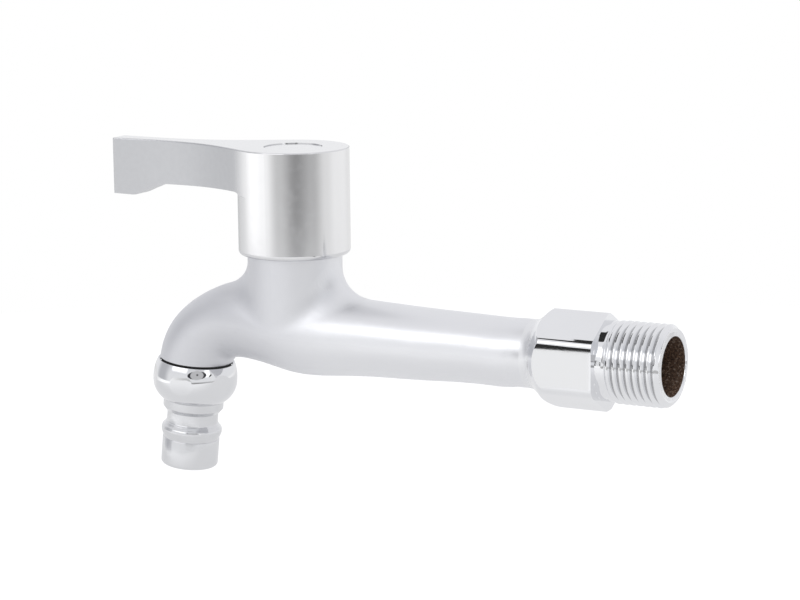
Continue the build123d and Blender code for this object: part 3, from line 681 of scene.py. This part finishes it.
def dull_solid(name, tone, roughness, scale, depth, speckle=0.8):
    """Rubber, fibre, ceramic, plastic, or the groove's near-black painted shade: a speckled tone
    with a fine uneven skin.
    """
    material, tree, shader, where = start_material(name)
    grain = noise(tree, where, scale, detail=5.0, roughness=0.7)
    feed(tree, mix_colour(tree, grain, darker(tone, speckle), tone), shader, "Base Color")
    gloss = fade(tree, grain, 0.3, 0.7, roughness - 0.06, roughness + 0.06)
    feed(tree, gloss, shader, "Roughness")
    feed(tree, bump(tree, grain, depth * MM), shader, "Normal")
    return material


# Mesh helpers

def arc(start, end, sag, steps=12):
    """Points after the first of a round stretch between two (radius, height) points.
    Its middle stands to the left of the way from start to end by the sag."""
    run = Vector(end) - Vector(start)
    half = run.length / 2
    radius = (half**2 + sag**2) / (2 * abs(sag))
    left = Vector((-run.y, run.x)).normalized() * (1 if sag > 0 else -1)
    centre = (Vector(start) + Vector(end)) / 2 - left * (radius - abs(sag))
    sweep = 2 * asin(min(half / radius, 1.0)) * (-1 if sag > 0 else 1)
    spoke = Vector(start) - centre
    points = []
    for step in range(1, steps + 1):
        turn = sweep * step / steps
        points.append(
            (
                centre.x + spoke.x * cos(turn) - spoke.y * sin(turn),
                centre.y + spoke.x * sin(turn) + spoke.y * cos(turn),
            )
        )
    return points


def turn_outline(bm, points, closed):
    """Spins an outline of (radius, height) points round the Z axis, in millimetres."""
    chain = [bm.verts.new((radius, 0, height)) for radius, height in points]
    edges = [bm.edges.new(pair) for pair in zip(chain, chain[1:])]
    if closed:
        edges.append(bm.edges.new((chain[-1], chain[0])))
    bmesh.ops.spin(
        bm,
        geom=chain + edges,
        cent=(0, 0, 0),
        axis=(0, 0, 1),
        angle=2 * pi,
        steps=ROUND_STEPS,
        use_merge=True,
    )


# Steps of a turn of thread, and the shares of the pitch that its form takes
THREAD_STEPS = 96
SPARE_TURNS = 3
CREST_FLAT = 0.24
ROOT_FLAT = 0.12
EDGE_ROUNDING = 0.05


def thread_outline(root, crest, pitch):
    """One pitch of a V thread with a worn flat crest and a narrow root, from root to root."""
    bottom = ROOT_FLAT / 2
    top = (1 - CREST_FLAT) / 2
    slope = (crest - root) / (top - bottom)
    soft = EDGE_ROUNDING
    rise = [
        (root, 0),
        (root, (bottom - soft / 2)),
        (root + slope * soft / 2, bottom + soft / 2),
        (crest - slope * soft / 2, top - soft / 2),
        (crest - slope * soft / 8, top + soft / 4),
        (crest, top + soft),
    ]
    fall = [(radius, 1 - share) for radius, share in reversed(rise)]
    return [(radius, share * pitch) for radius, share in rise + fall]


def add_thread(
    bm,
    axis,
    root,
    crest,
    pitch,
    start,
    end,
    hollow=False,
    shank=None,
    shank_end=0.0,
    chamfer=0.0,
):
    """The open, right-handed surface of a screw thread between two heights on an axis.
    It runs out of a plain shank at its start, and its crests are chamfered at its end.
    The surface of a hollow thread faces the axis."""
    part = bmesh.new()
    turns = int((end - start) / pitch) + SPARE_TURNS
    chain = []
    for radius, height in thread_outline(root, crest, pitch):
        chain.append(part.verts.new((radius, 0, start - SPARE_TURNS / 2 * pitch + height)))
    edges = [part.edges.new(pair) for pair in zip(chain, chain[1:])]
    bmesh.ops.spin(
        part,
        geom=chain + edges,
        cent=(0, 0, 0),
        axis=(0, 0, 1),
        dvec=(0, 0, pitch / THREAD_STEPS),
        angle=2 * pi * turns,
        steps=THREAD_STEPS * turns,
    )
    bmesh.ops.remove_doubles(part, verts=part.verts, dist=WELD)
    for height, way in ((start, -1), (end, 1)):
        bmesh.ops.bisect_plane(
            part,
            geom=part.verts[:] + part.edges[:] + part.faces[:],
            dist=CUT_TOLERANCE,
            plane_co=(0, 0, height),
            plane_no=(0, 0, way),
            clear_outer=True,
        )
    part.normal_update()
    outwards = sum(face.normal.xy.dot(face.calc_center_median().xy) for face in part.faces)
    if (outwards > 0) == hollow:
        bmesh.ops.reverse_faces(part, faces=part.faces)
    for vert in part.verts:
        radius = vert.co.xy.length
        wanted = radius
        if shank is not None:
            share = min(max((vert.co.z - shank_end) / pitch, 0.0), 1.0)
            wanted = shank + (radius - shank) * share
        if chamfer:
            wanted = min(wanted, crest - chamfer + (end - vert.co.z))
        vert.co.xy = vert.co.xy * (wanted / radius)
    part.transform(axis)
    joined = bpy.data.meshes.new("thread")
    part.to_mesh(joined)
    part.free()
    bm.from_mesh(joined)
    bpy.data.meshes.remove(joined)


def close_at(bm, axis, height, facing=1, slack=0.05):
    """Joins the two open rings at a height on an axis, or caps a single one. The new faces
    look along the axis or against it."""
    level = axis.inverted()
    rim = []
    for edge in bm.edges:
        offsets = [abs((level @ vert.co).z - height) for vert in edge.verts]
        if edge.is_boundary and max(offsets) < slack:
            rim.append(edge)
    linked = set(rim[0].verts)
    grown = True
    while grown:
        grown = False
        for edge in rim:
            if len(linked & set(edge.verts)) == 1:
                linked.update(edge.verts)
                grown = True
    if all(edge.verts[0] in linked for edge in rim):
        made = bmesh.ops.holes_fill(bm, edges=rim, sides=0)["faces"]
    else:
        made = bmesh.ops.bridge_loops(bm, edges=rim)["faces"]
    along = axis.to_3x3() @ Vector((0, 0, facing))
    for face in made:
        face.normal_update()
        if face.normal.dot(along) < 0:
            face.normal_flip()


def open_part(bm, axis, low, high, inner, outer):
    """Takes away the faces in a range of heights and radii about an axis."""
    level = axis.inverted()
    gone = []
    for face in bm.faces:
        centre = level @ face.calc_center_median()
        if low < centre.z < high and inner < centre.xy.length < outer:
            gone.append(face)
    bmesh.ops.delete(bm, geom=gone, context="FACES")


def copy_node(name):
    """A copy of a frame node's mesh in millimetres, merged, with its own normals kept."""
    source = nodes[name].data
    mesh = source.copy()
    stored = mesh.attributes.new("frame_normal", "FLOAT_VECTOR", "CORNER")
    normals = [0.0] * (3 * len(mesh.loops))
    source.corner_normals.foreach_get("vector", normals)
    stored.data.foreach_set("vector", normals)
    bm = bmesh.new()
    bm.from_mesh(mesh)
    bpy.data.meshes.remove(mesh)
    bmesh.ops.scale(bm, vec=(1 / MM, 1 / MM, 1 / MM), verts=bm.verts)
    bmesh.ops.remove_doubles(bm, verts=bm.verts, dist=COPY_WELD)
    return bm


def finish_piece(bm, name, body, replaced, finishes, drawn=True):
    """Turns a bmesh in millimetres into a finished piece that rides on a body. One that is
    wholly drawn here has its normals worked out, and a copied one keeps the frame's."""
    bmesh.ops.remove_doubles(bm, verts=bm.verts, dist=WELD)
    if drawn:
        bmesh.ops.recalc_face_normals(bm, faces=bm.faces)
    bmesh.ops.scale(bm, vec=(MM, MM, MM), verts=bm.verts)
    mesh = bpy.data.meshes.new(name)
    bm.to_mesh(mesh)
    bm.free()
    mesh.shade_smooth()
    mesh.set_sharp_from_angle(angle=SMOOTH_ANGLE)
    stored = mesh.attributes.get("frame_normal")
    if stored is not None:
        values = [0.0] * (3 * len(mesh.loops))
        stored.data.foreach_get("vector", values)
        mesh.normals_split_custom_set(list(zip(values[0::3], values[1::3], values[2::3])))
        # Setting the normals may move the attribute, so it is looked up again
        mesh.attributes.remove(mesh.attributes["frame_normal"])
    for finish in finishes:
        mesh.materials.append(finish)
    piece = bpy.data.objects.new(name, mesh)
    bpy.context.scene.collection.objects.link(piece)
    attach(piece, body)
    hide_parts(*replaced)
    return piece


# The body with its threads

SATIN, POLISHED, ROUGH, GROOVE_SHADE = range(4)
INWARDS = -0.2


def faces_inwards(centre, normal):
    """Whether a face of the casting belongs to its waterways, not to its outside."""
    if centre.y > CHAMBER_BACK:
        line = ((0, CHAMBER_BACK, 0), (0, INLET_LENGTH, 0))
    elif centre.z > NECK_FOOT and centre.y > CHAMBER_FRONT:
        line = ((0, -VALVE_DISTANCE, 0), (0, -VALVE_DISTANCE, NECK_TOP))
    elif centre.y > CHAMBER_FRONT:
        line = ((0, CHAMBER_BACK, CHAMBER_LEVEL), (0, CHAMBER_FRONT, CHAMBER_LEVEL))
    else:
        line = (
            (0, CHAMBER_FRONT, SPOUT_LEVEL),
            (0, SPOUT_BEND, SPOUT_LEVEL),
            tuple(OUTLET_START),
            tuple(OUTLET_AXIS @ Vector((0, 0, SPIGOT_LENGTH))),
        )
    nearest = None
    for first, second in zip(line, line[1:]):
        first = Vector(first)
        run = Vector(second) - first
        share = min(max((centre - first).dot(run) / run.length_squared, 0), 1)
        spoke = centre - (first + run * share)
        if nearest is None or spoke.length < nearest.length:
            nearest = spoke
    return normal.dot(nearest) < INWARDS * nearest.length


def from_spout_wall(place):
    """How far a place on the outlet axis lies from the wall of the spout's end."""
    return abs(place.xy.length - SPOUT_RADIUS)


def turn_groove(bm):
    """A narrow groove in the spout's end, just over the nut, whose faces are coloured near-black as
    painted shade.
    """
    stored = bm.loops.layers.float_vector["frame_normal"]
    for height in (GROOVE_TOP, GROOVE_TOP + GROOVE_EDGE):
        near = set()
        for face in bm.faces:
            centre = OUTLET_LEVEL @ face.calc_center_median()
            if abs(centre.z) < SPOUT_END_LENGTH and from_spout_wall(centre) < SPOUT_SKIN:
                near.update([face, *face.verts, *face.edges])
        bmesh.ops.bisect_plane(
            bm,
            geom=list(near),
            dist=CUT_TOLERANCE,
            plane_co=OUTLET_AXIS @ Vector((0, 0, height)),
            plane_no=OUTLET_DIRECTION,
        )
    moved = set()
    for vert in bm.verts:
        place = OUTLET_LEVEL @ vert.co
        sunk = GROOVE_TOP + HEIGHT_SLACK < place.z < SPOUT_END + HEIGHT_SLACK
        if sunk and from_spout_wall(place) < SPOUT_SKIN / 2:
            moved.add(vert)
            place.xy *= 1 - GROOVE_DEPTH / place.xy.length
            vert.co = OUTLET_AXIS @ place
    for vert in moved:
        for face in vert.link_faces:
            for loop in face.loops:
                loop[stored] = Vector()


def body_finish(centre, normal):
    """Which of the casting's finishes a face has."""
    below = OUTLET_LEVEL @ centre
    # The groove over the nut takes a near-black colour as painted shade
    if GROOVE_TOP < below.z < SPOUT_END + HEIGHT_SLACK and from_spout_wall(below) < BEYOND:
        return GROOVE_SHADE
    if faces_inwards(centre, normal):
        return ROUGH
    if centre.y > POLISHED_START or (below.z > SPIGOT_START and centre.y < SPOUT_SIDE):
        return POLISHED
    return SATIN


def make_body(satin, polished, rough, groove_shade):
    """The casting with its inlet thread, its spigot thread and its rough waterways."""
    bm = copy_node("body")
    turn_groove(bm)
    open_part(bm, INLET_AXIS, SEAM, INLET_LENGTH + BEYOND, INLET_BORE + CLEAR, INLET_MAJOR + BEYOND)
    spigot_low = SPIGOT_START + SPIGOT_SEAM
    spigot_high = SPIGOT_LENGTH + BEYOND
    spigot_outer = SPIGOT_MAJOR + CREST_BAND
    open_part(bm, OUTLET_AXIS, spigot_low, spigot_high, SPOUT_BORE + CLEAR, spigot_outer)
    add_thread(
        bm,
        INLET_AXIS,
        INLET_MAJOR - INLET_DEPTH,
        INLET_MAJOR,
        INLET_PITCH,
        0.0,
        INLET_THREAD_END,
        shank=INLET_SHANK,
        shank_end=INLET_SHANK_LENGTH,
        chamfer=INLET_CHAMFER,
    )
    close_at(bm, INLET_AXIS, 0.0)
    close_at(bm, INLET_AXIS, INLET_LENGTH)
    spigot_root = SPIGOT_MAJOR - SPIGOT_DEPTH
    add_thread(
        bm,
        OUTLET_AXIS,
        spigot_root,
        SPIGOT_MAJOR,
        SPIGOT_PITCH,
        SPIGOT_START,
        SPIGOT_LENGTH,
        shank=spigot_root,
        shank_end=SPIGOT_START + SPIGOT_RUN_OUT,
        chamfer=SPIGOT_CHAMFER,
    )
    close_at(bm, OUTLET_AXIS, SPIGOT_START)
    close_at(bm, OUTLET_AXIS, SPIGOT_LENGTH)
    bm.normal_update()
    for face in bm.faces:
        face.material_index = body_finish(face.calc_center_median(), face.normal)
    finishes = [satin, polished, rough, groove_shade]
    return finish_piece(
        bm, "tap_body", "tap", ["body"], finishes, drawn=False
    )


# The union nut and the hose nozzle

def make_nut(finish):
    """The barrel-shaped union nut: round wrench flats outside and a thread inside."""
    bm = bmesh.new()
    top_sag = NUT_RADIUS - NUT_TOP_RADIUS
    upper_length = NUT_WIDEST + NUT_COLLAR
    upper_arc = (top_sag**2 + upper_length**2) / (2 * top_sag)
    upper_chord = sqrt(top_sag**2 + upper_length**2) / 2
    upper_sag = upper_arc - sqrt(upper_arc**2 - upper_chord**2)
    lower_length = NUT_LENGTH - NUT_WIDEST
    foot = NUT_RADIUS - NUT_LOWER_ARC + sqrt(NUT_LOWER_ARC**2 - lower_length**2)
    lower_chord = sqrt((NUT_RADIUS - foot) ** 2 + lower_length**2) / 2
    lower_sag = NUT_LOWER_ARC - sqrt(NUT_LOWER_ARC**2 - lower_chord**2)
    bore = SPIGOT_MAJOR + NUT_BORE_GAP
    outline = [
        (bore, NUT_MOUTH_DEPTH),
        (NUT_MOUTH_RADIUS, NUT_MOUTH_DEPTH),
        (NUT_MOUTH_RADIUS, -NUT_COLLAR),
        (NUT_TOP_RADIUS - NUT_RIM, -NUT_COLLAR),
    ]
    outline += arc(outline[-1], (NUT_TOP_RADIUS, -NUT_COLLAR + NUT_RIM), sag=-0.03, steps=3)
    outline += arc(outline[-1], (NUT_RADIUS, NUT_WIDEST), sag=-upper_sag, steps=24)
    outline += arc(outline[-1], (foot, NUT_LENGTH), sag=-lower_sag, steps=28)
    outline += [(LIP_BORE, NUT_LENGTH), (LIP_BORE, LIP_TOP), (bore, LIP_TOP)]
    turn_outline(bm, outline, closed=False)
    reach = NUT_RADIUS - NUT_FLAT_DEPTH
    for number in range(NUT_FLATS):
        angle = -radians(NUT_FLAT_ANGLE + 360 * number / NUT_FLATS)
        outward = Vector((cos(angle), sin(angle), 0))
        near = set()
        for face in bm.faces:
            if face.calc_center_median().dot(outward) > reach - NUT_FLAT_BAND:
                near.update([face, *face.verts, *face.edges])
        cut = bmesh.ops.bisect_plane(
            bm,
            geom=list(near),
            dist=CUT_TOLERANCE,
            plane_co=outward * reach,
            plane_no=outward,
            clear_outer=True,
        )
        edges = [item for item in cut["geom_cut"] if isinstance(item, bmesh.types.BMEdge)]
        rim = [edge for edge in edges if edge.is_boundary]
        bmesh.ops.holes_fill(bm, edges=rim, sides=0)
    upright = Matrix.Identity(4)
    root = SPIGOT_MAJOR - SPIGOT_DEPTH + NUT_THREAD_GAP
    crest = SPIGOT_MAJOR + NUT_THREAD_GAP
    add_thread(bm, upright, root, crest, SPIGOT_PITCH, NUT_MOUTH_DEPTH, LIP_TOP, hollow=True)
    close_at(bm, upright, NUT_MOUTH_DEPTH)
    close_at(bm, upright, LIP_TOP)
    bm.transform(OUTLET_AXIS)
    return finish_piece(bm, "union_nut", "union_nut", ["outlet_nut"], [finish])


def make_nozzle(finish):
    """The hose nozzle: a flange in the nut, a collar, a hose groove, a bead and a barrel."""
    bm = bmesh.new()
    neck = GROOVE_RADIUS + GROOVE_ROUNDING
    ledge = BARREL_RADIUS - LEDGE_DEPTH
    shoulder = COLLAR_END - COLLAR_CHAMFER
    collar_edge = (COLLAR_RADIUS - COLLAR_EDGE_IN, shoulder + COLLAR_EDGE_OVER)
    bead_flank = (BEAD_RADIUS - BEAD_EDGE_IN, BEAD_MIDDLE - BEAD_EDGE_BEFORE)
    barrel_edge = (BARREL_RADIUS - BARREL_ROUNDING, NOZZLE_LENGTH)
    barrel_sag = QUARTER_SAG * BARREL_ROUNDING
    outline = [
        (NOZZLE_BORE, GASKET_END),
        (FLANGE_RADIUS - FLANGE_EDGE, GASKET_END),
        (FLANGE_RADIUS, GASKET_END + FLANGE_EDGE),
        (FLANGE_RADIUS, LIP_TOP),
        (COLLAR_RADIUS, LIP_TOP),
        (COLLAR_RADIUS, shoulder - COLLAR_ROUNDING),
    ]
    outline += arc(outline[-1], collar_edge, sag=-0.05, steps=5)
    outline += [(neck, COLLAR_END), (GROOVE_RADIUS, COLLAR_END + GROOVE_LEAN)]
    outline += [(GROOVE_RADIUS, GROOVE_END - GROOVE_FOOT)]
    outline += arc(outline[-1], (neck, GROOVE_END + GROOVE_RISE), sag=0.06, steps=4)
    outline += arc(outline[-1], bead_flank, sag=0.06, steps=6)
    outline += arc(outline[-1], (BEAD_RADIUS, BEAD_MIDDLE), sag=-0.08, steps=8)
    outline += arc(outline[-1], (ledge, BEAD_END), sag=-0.1, steps=8)
    outline += [(ledge, BEAD_END + LEDGE_LENGTH)]
    outline += arc(outline[-1], (BARREL_RADIUS, BEAD_END + BARREL_START), sag=-0.03, steps=3)
    outline += [(BARREL_RADIUS, NOZZLE_LENGTH - BARREL_ROUNDING)]
    outline += arc(outline[-1], barrel_edge, sag=-barrel_sag, steps=10)
    outline += [(NOZZLE_BORE + NOZZLE_BORE_EDGE, NOZZLE_LENGTH)]
    outline += [(NOZZLE_BORE, NOZZLE_LENGTH - NOZZLE_BORE_EDGE)]
    turn_outline(bm, outline, closed=True)
    bm.transform(OUTLET_AXIS)
    return finish_piece(bm, "nozzle", "nozzle", ["hose_nozzle"], [finish])


def make_cartridge(finish):
    """The cartridge's brass housing with the thread that holds it in the neck."""
    bm = copy_node("cartridge_housing")
    down = VALVE_AXIS @ Matrix.Translation((0, 0, CARTRIDGE_FLANGE)) @ UPSIDE_DOWN
    length = CARTRIDGE_FLANGE - CARTRIDGE_THREAD_BOTTOM
    root = CARTRIDGE_CREST - CARTRIDGE_DEPTH
    inner = CARTRIDGE_CREST - CREST_BAND
    open_part(bm, down, SEAM, length - SEAM, inner, CARTRIDGE_CREST + CLEAR)
    add_thread(
        bm,
        down,
        root,
        CARTRIDGE_CREST,
        CARTRIDGE_PITCH,
        0.0,
        length,
        shank=root,
        shank_end=CARTRIDGE_PITCH,
        chamfer=SMALL_CHAMFER,
    )
    close_at(bm, down, 0.0)
    close_at(bm, down, length, facing=-1)
    return finish_piece(
        bm, "cartridge_body", "tap", ["cartridge_housing"], [finish], drawn=False
    )


def make_handle_screw(finish):
    """The screw that holds the handle on the spindle, threaded up to its head."""
    bm = copy_node("handle_screw")
    down = VALVE_AXIS @ Matrix.Translation((0, 0, SCREW_SEAT)) @ UPSIDE_DOWN
    inner = SCREW_CREST - CREST_BAND
    open_part(bm, down, SEAM, SCREW_LENGTH - SEAM, inner, SCREW_CREST + CLEAR)
    add_thread(
        bm,
        down,
        SCREW_CREST - SCREW_DEPTH,
        SCREW_CREST,
        SCREW_PITCH,
        0.0,
        SCREW_LENGTH,
        shank=inner,
        shank_end=SCREW_PITCH,
        chamfer=SMALL_CHAMFER,
    )
    close_at(bm, down, 0.0)
    close_at(bm, down, SCREW_LENGTH)
    return finish_piece(
        bm, "threaded_screw", "lever", ["handle_screw"], [finish], drawn=False
    )


def make_cap(finish):
    """The plain cap with the ring that plugs it in. Its top rises a little to the middle, and
    its edge is a small hollow."""
    bm = bmesh.new()
    rim = CAP_TOP - CAP_CROWN
    outline = [
        (0, CAP_BOTTOM),
        (PLUG_RADIUS - PLUG_WALL, CAP_BOTTOM),
        (PLUG_RADIUS - PLUG_WALL, CAP_BOTTOM - PLUG_DEPTH),
        (PLUG_RADIUS, CAP_BOTTOM - PLUG_DEPTH),
        (PLUG_RADIUS, CAP_BOTTOM),
        (CAP_RADIUS, CAP_BOTTOM),
        (CAP_RADIUS, CAP_TOP - CAP_EDGE - CAP_CROWN),
    ]
    outline += arc(outline[-1], (CAP_RADIUS - CAP_EDGE, rim), sag=QUARTER_SAG * CAP_EDGE, steps=6)
    outline += arc(outline[-1], (0, CAP_TOP), sag=CAP_CROWN / 4, steps=10)
    turn_outline(bm, outline, closed=False)
    bm.transform(VALVE_AXIS)
    return finish_piece(bm, "cap", "lever", ["handle_cap"], [finish])


def coat(name, finish):
    """Gives a frame node its finish."""
    nodes[name].data.materials.clear()
    nodes[name].data.materials.append(finish)


make_camera()
bpy.context.scene.view_settings.view_transform = "Standard"
make_world()
make_floor()
for card_name, card_tone, card_corners in CARDS:
    make_card(card_name, card_tone, card_corners)

satin_chrome = body_plate()
thread_chrome = thread_plate()
bright_chrome = chrome_plate("bright_chrome", (0.76, 0.765, 0.78, 1), 0.05)[0]
nozzle_chrome = nozzle_plate()
cap_chrome = chrome_plate("cap_chrome", (0.77, 0.77, 0.785, 1), 0.12)[0]
brass_metal = turned_metal("turned_brass", (0.72, 0.53, 0.24, 1), (0, 0, 1), 0.22)[0]
steel_metal = turned_metal("turned_steel", (0.60, 0.60, 0.61, 1), (0, 0, 1), 0.25)[0]
ceramic = dull_solid("lapped_ceramic", (0.90, 0.89, 0.86, 1), 0.25, 1500.0, 0.001, 0.95)
rubber = dull_solid("black_rubber", (0.025, 0.025, 0.028, 1), 0.6, 900.0, 0.01)
fibre = dull_solid("red_fibre", (0.30, 0.07, 0.045, 1), 0.75, 1400.0, 0.03, 0.6)
# Near-black painted shade for the groove over the nut
groove_shade_finish = dull_solid("groove_painted_shade", (0.030, 0.029, 0.028, 1), 0.5, 900.0, 0.01, 0.7)
plastic = dull_solid("acetal", (0.86, 0.85, 0.80, 1), 0.45, 700.0, 0.004, 0.96)

make_body(satin_chrome, thread_chrome, raw_casting(), groove_shade_finish)
make_nut(bright_chrome)
make_nozzle(nozzle_chrome)
make_cap(cap_chrome)
make_cartridge(brass_metal)
make_handle_screw(steel_metal)
for node_finish, node_names in (
    (handle_plate(), ("handle",)),
    (brass_metal, ("spindle",)),
    (steel_metal, ("screw_washer", "spindle_clip")),
    (ceramic, ("fixed_disc", "moving_disc")),
    (rubber, ("seat_seal", "spindle_o_rings", "nozzle_gasket")),
    (plastic, ("seal_support_ring", "slip_washer")),
    (fibre, ("cartridge_gasket",)),
):
    for node_name in node_names:
        coat(node_name, node_finish)
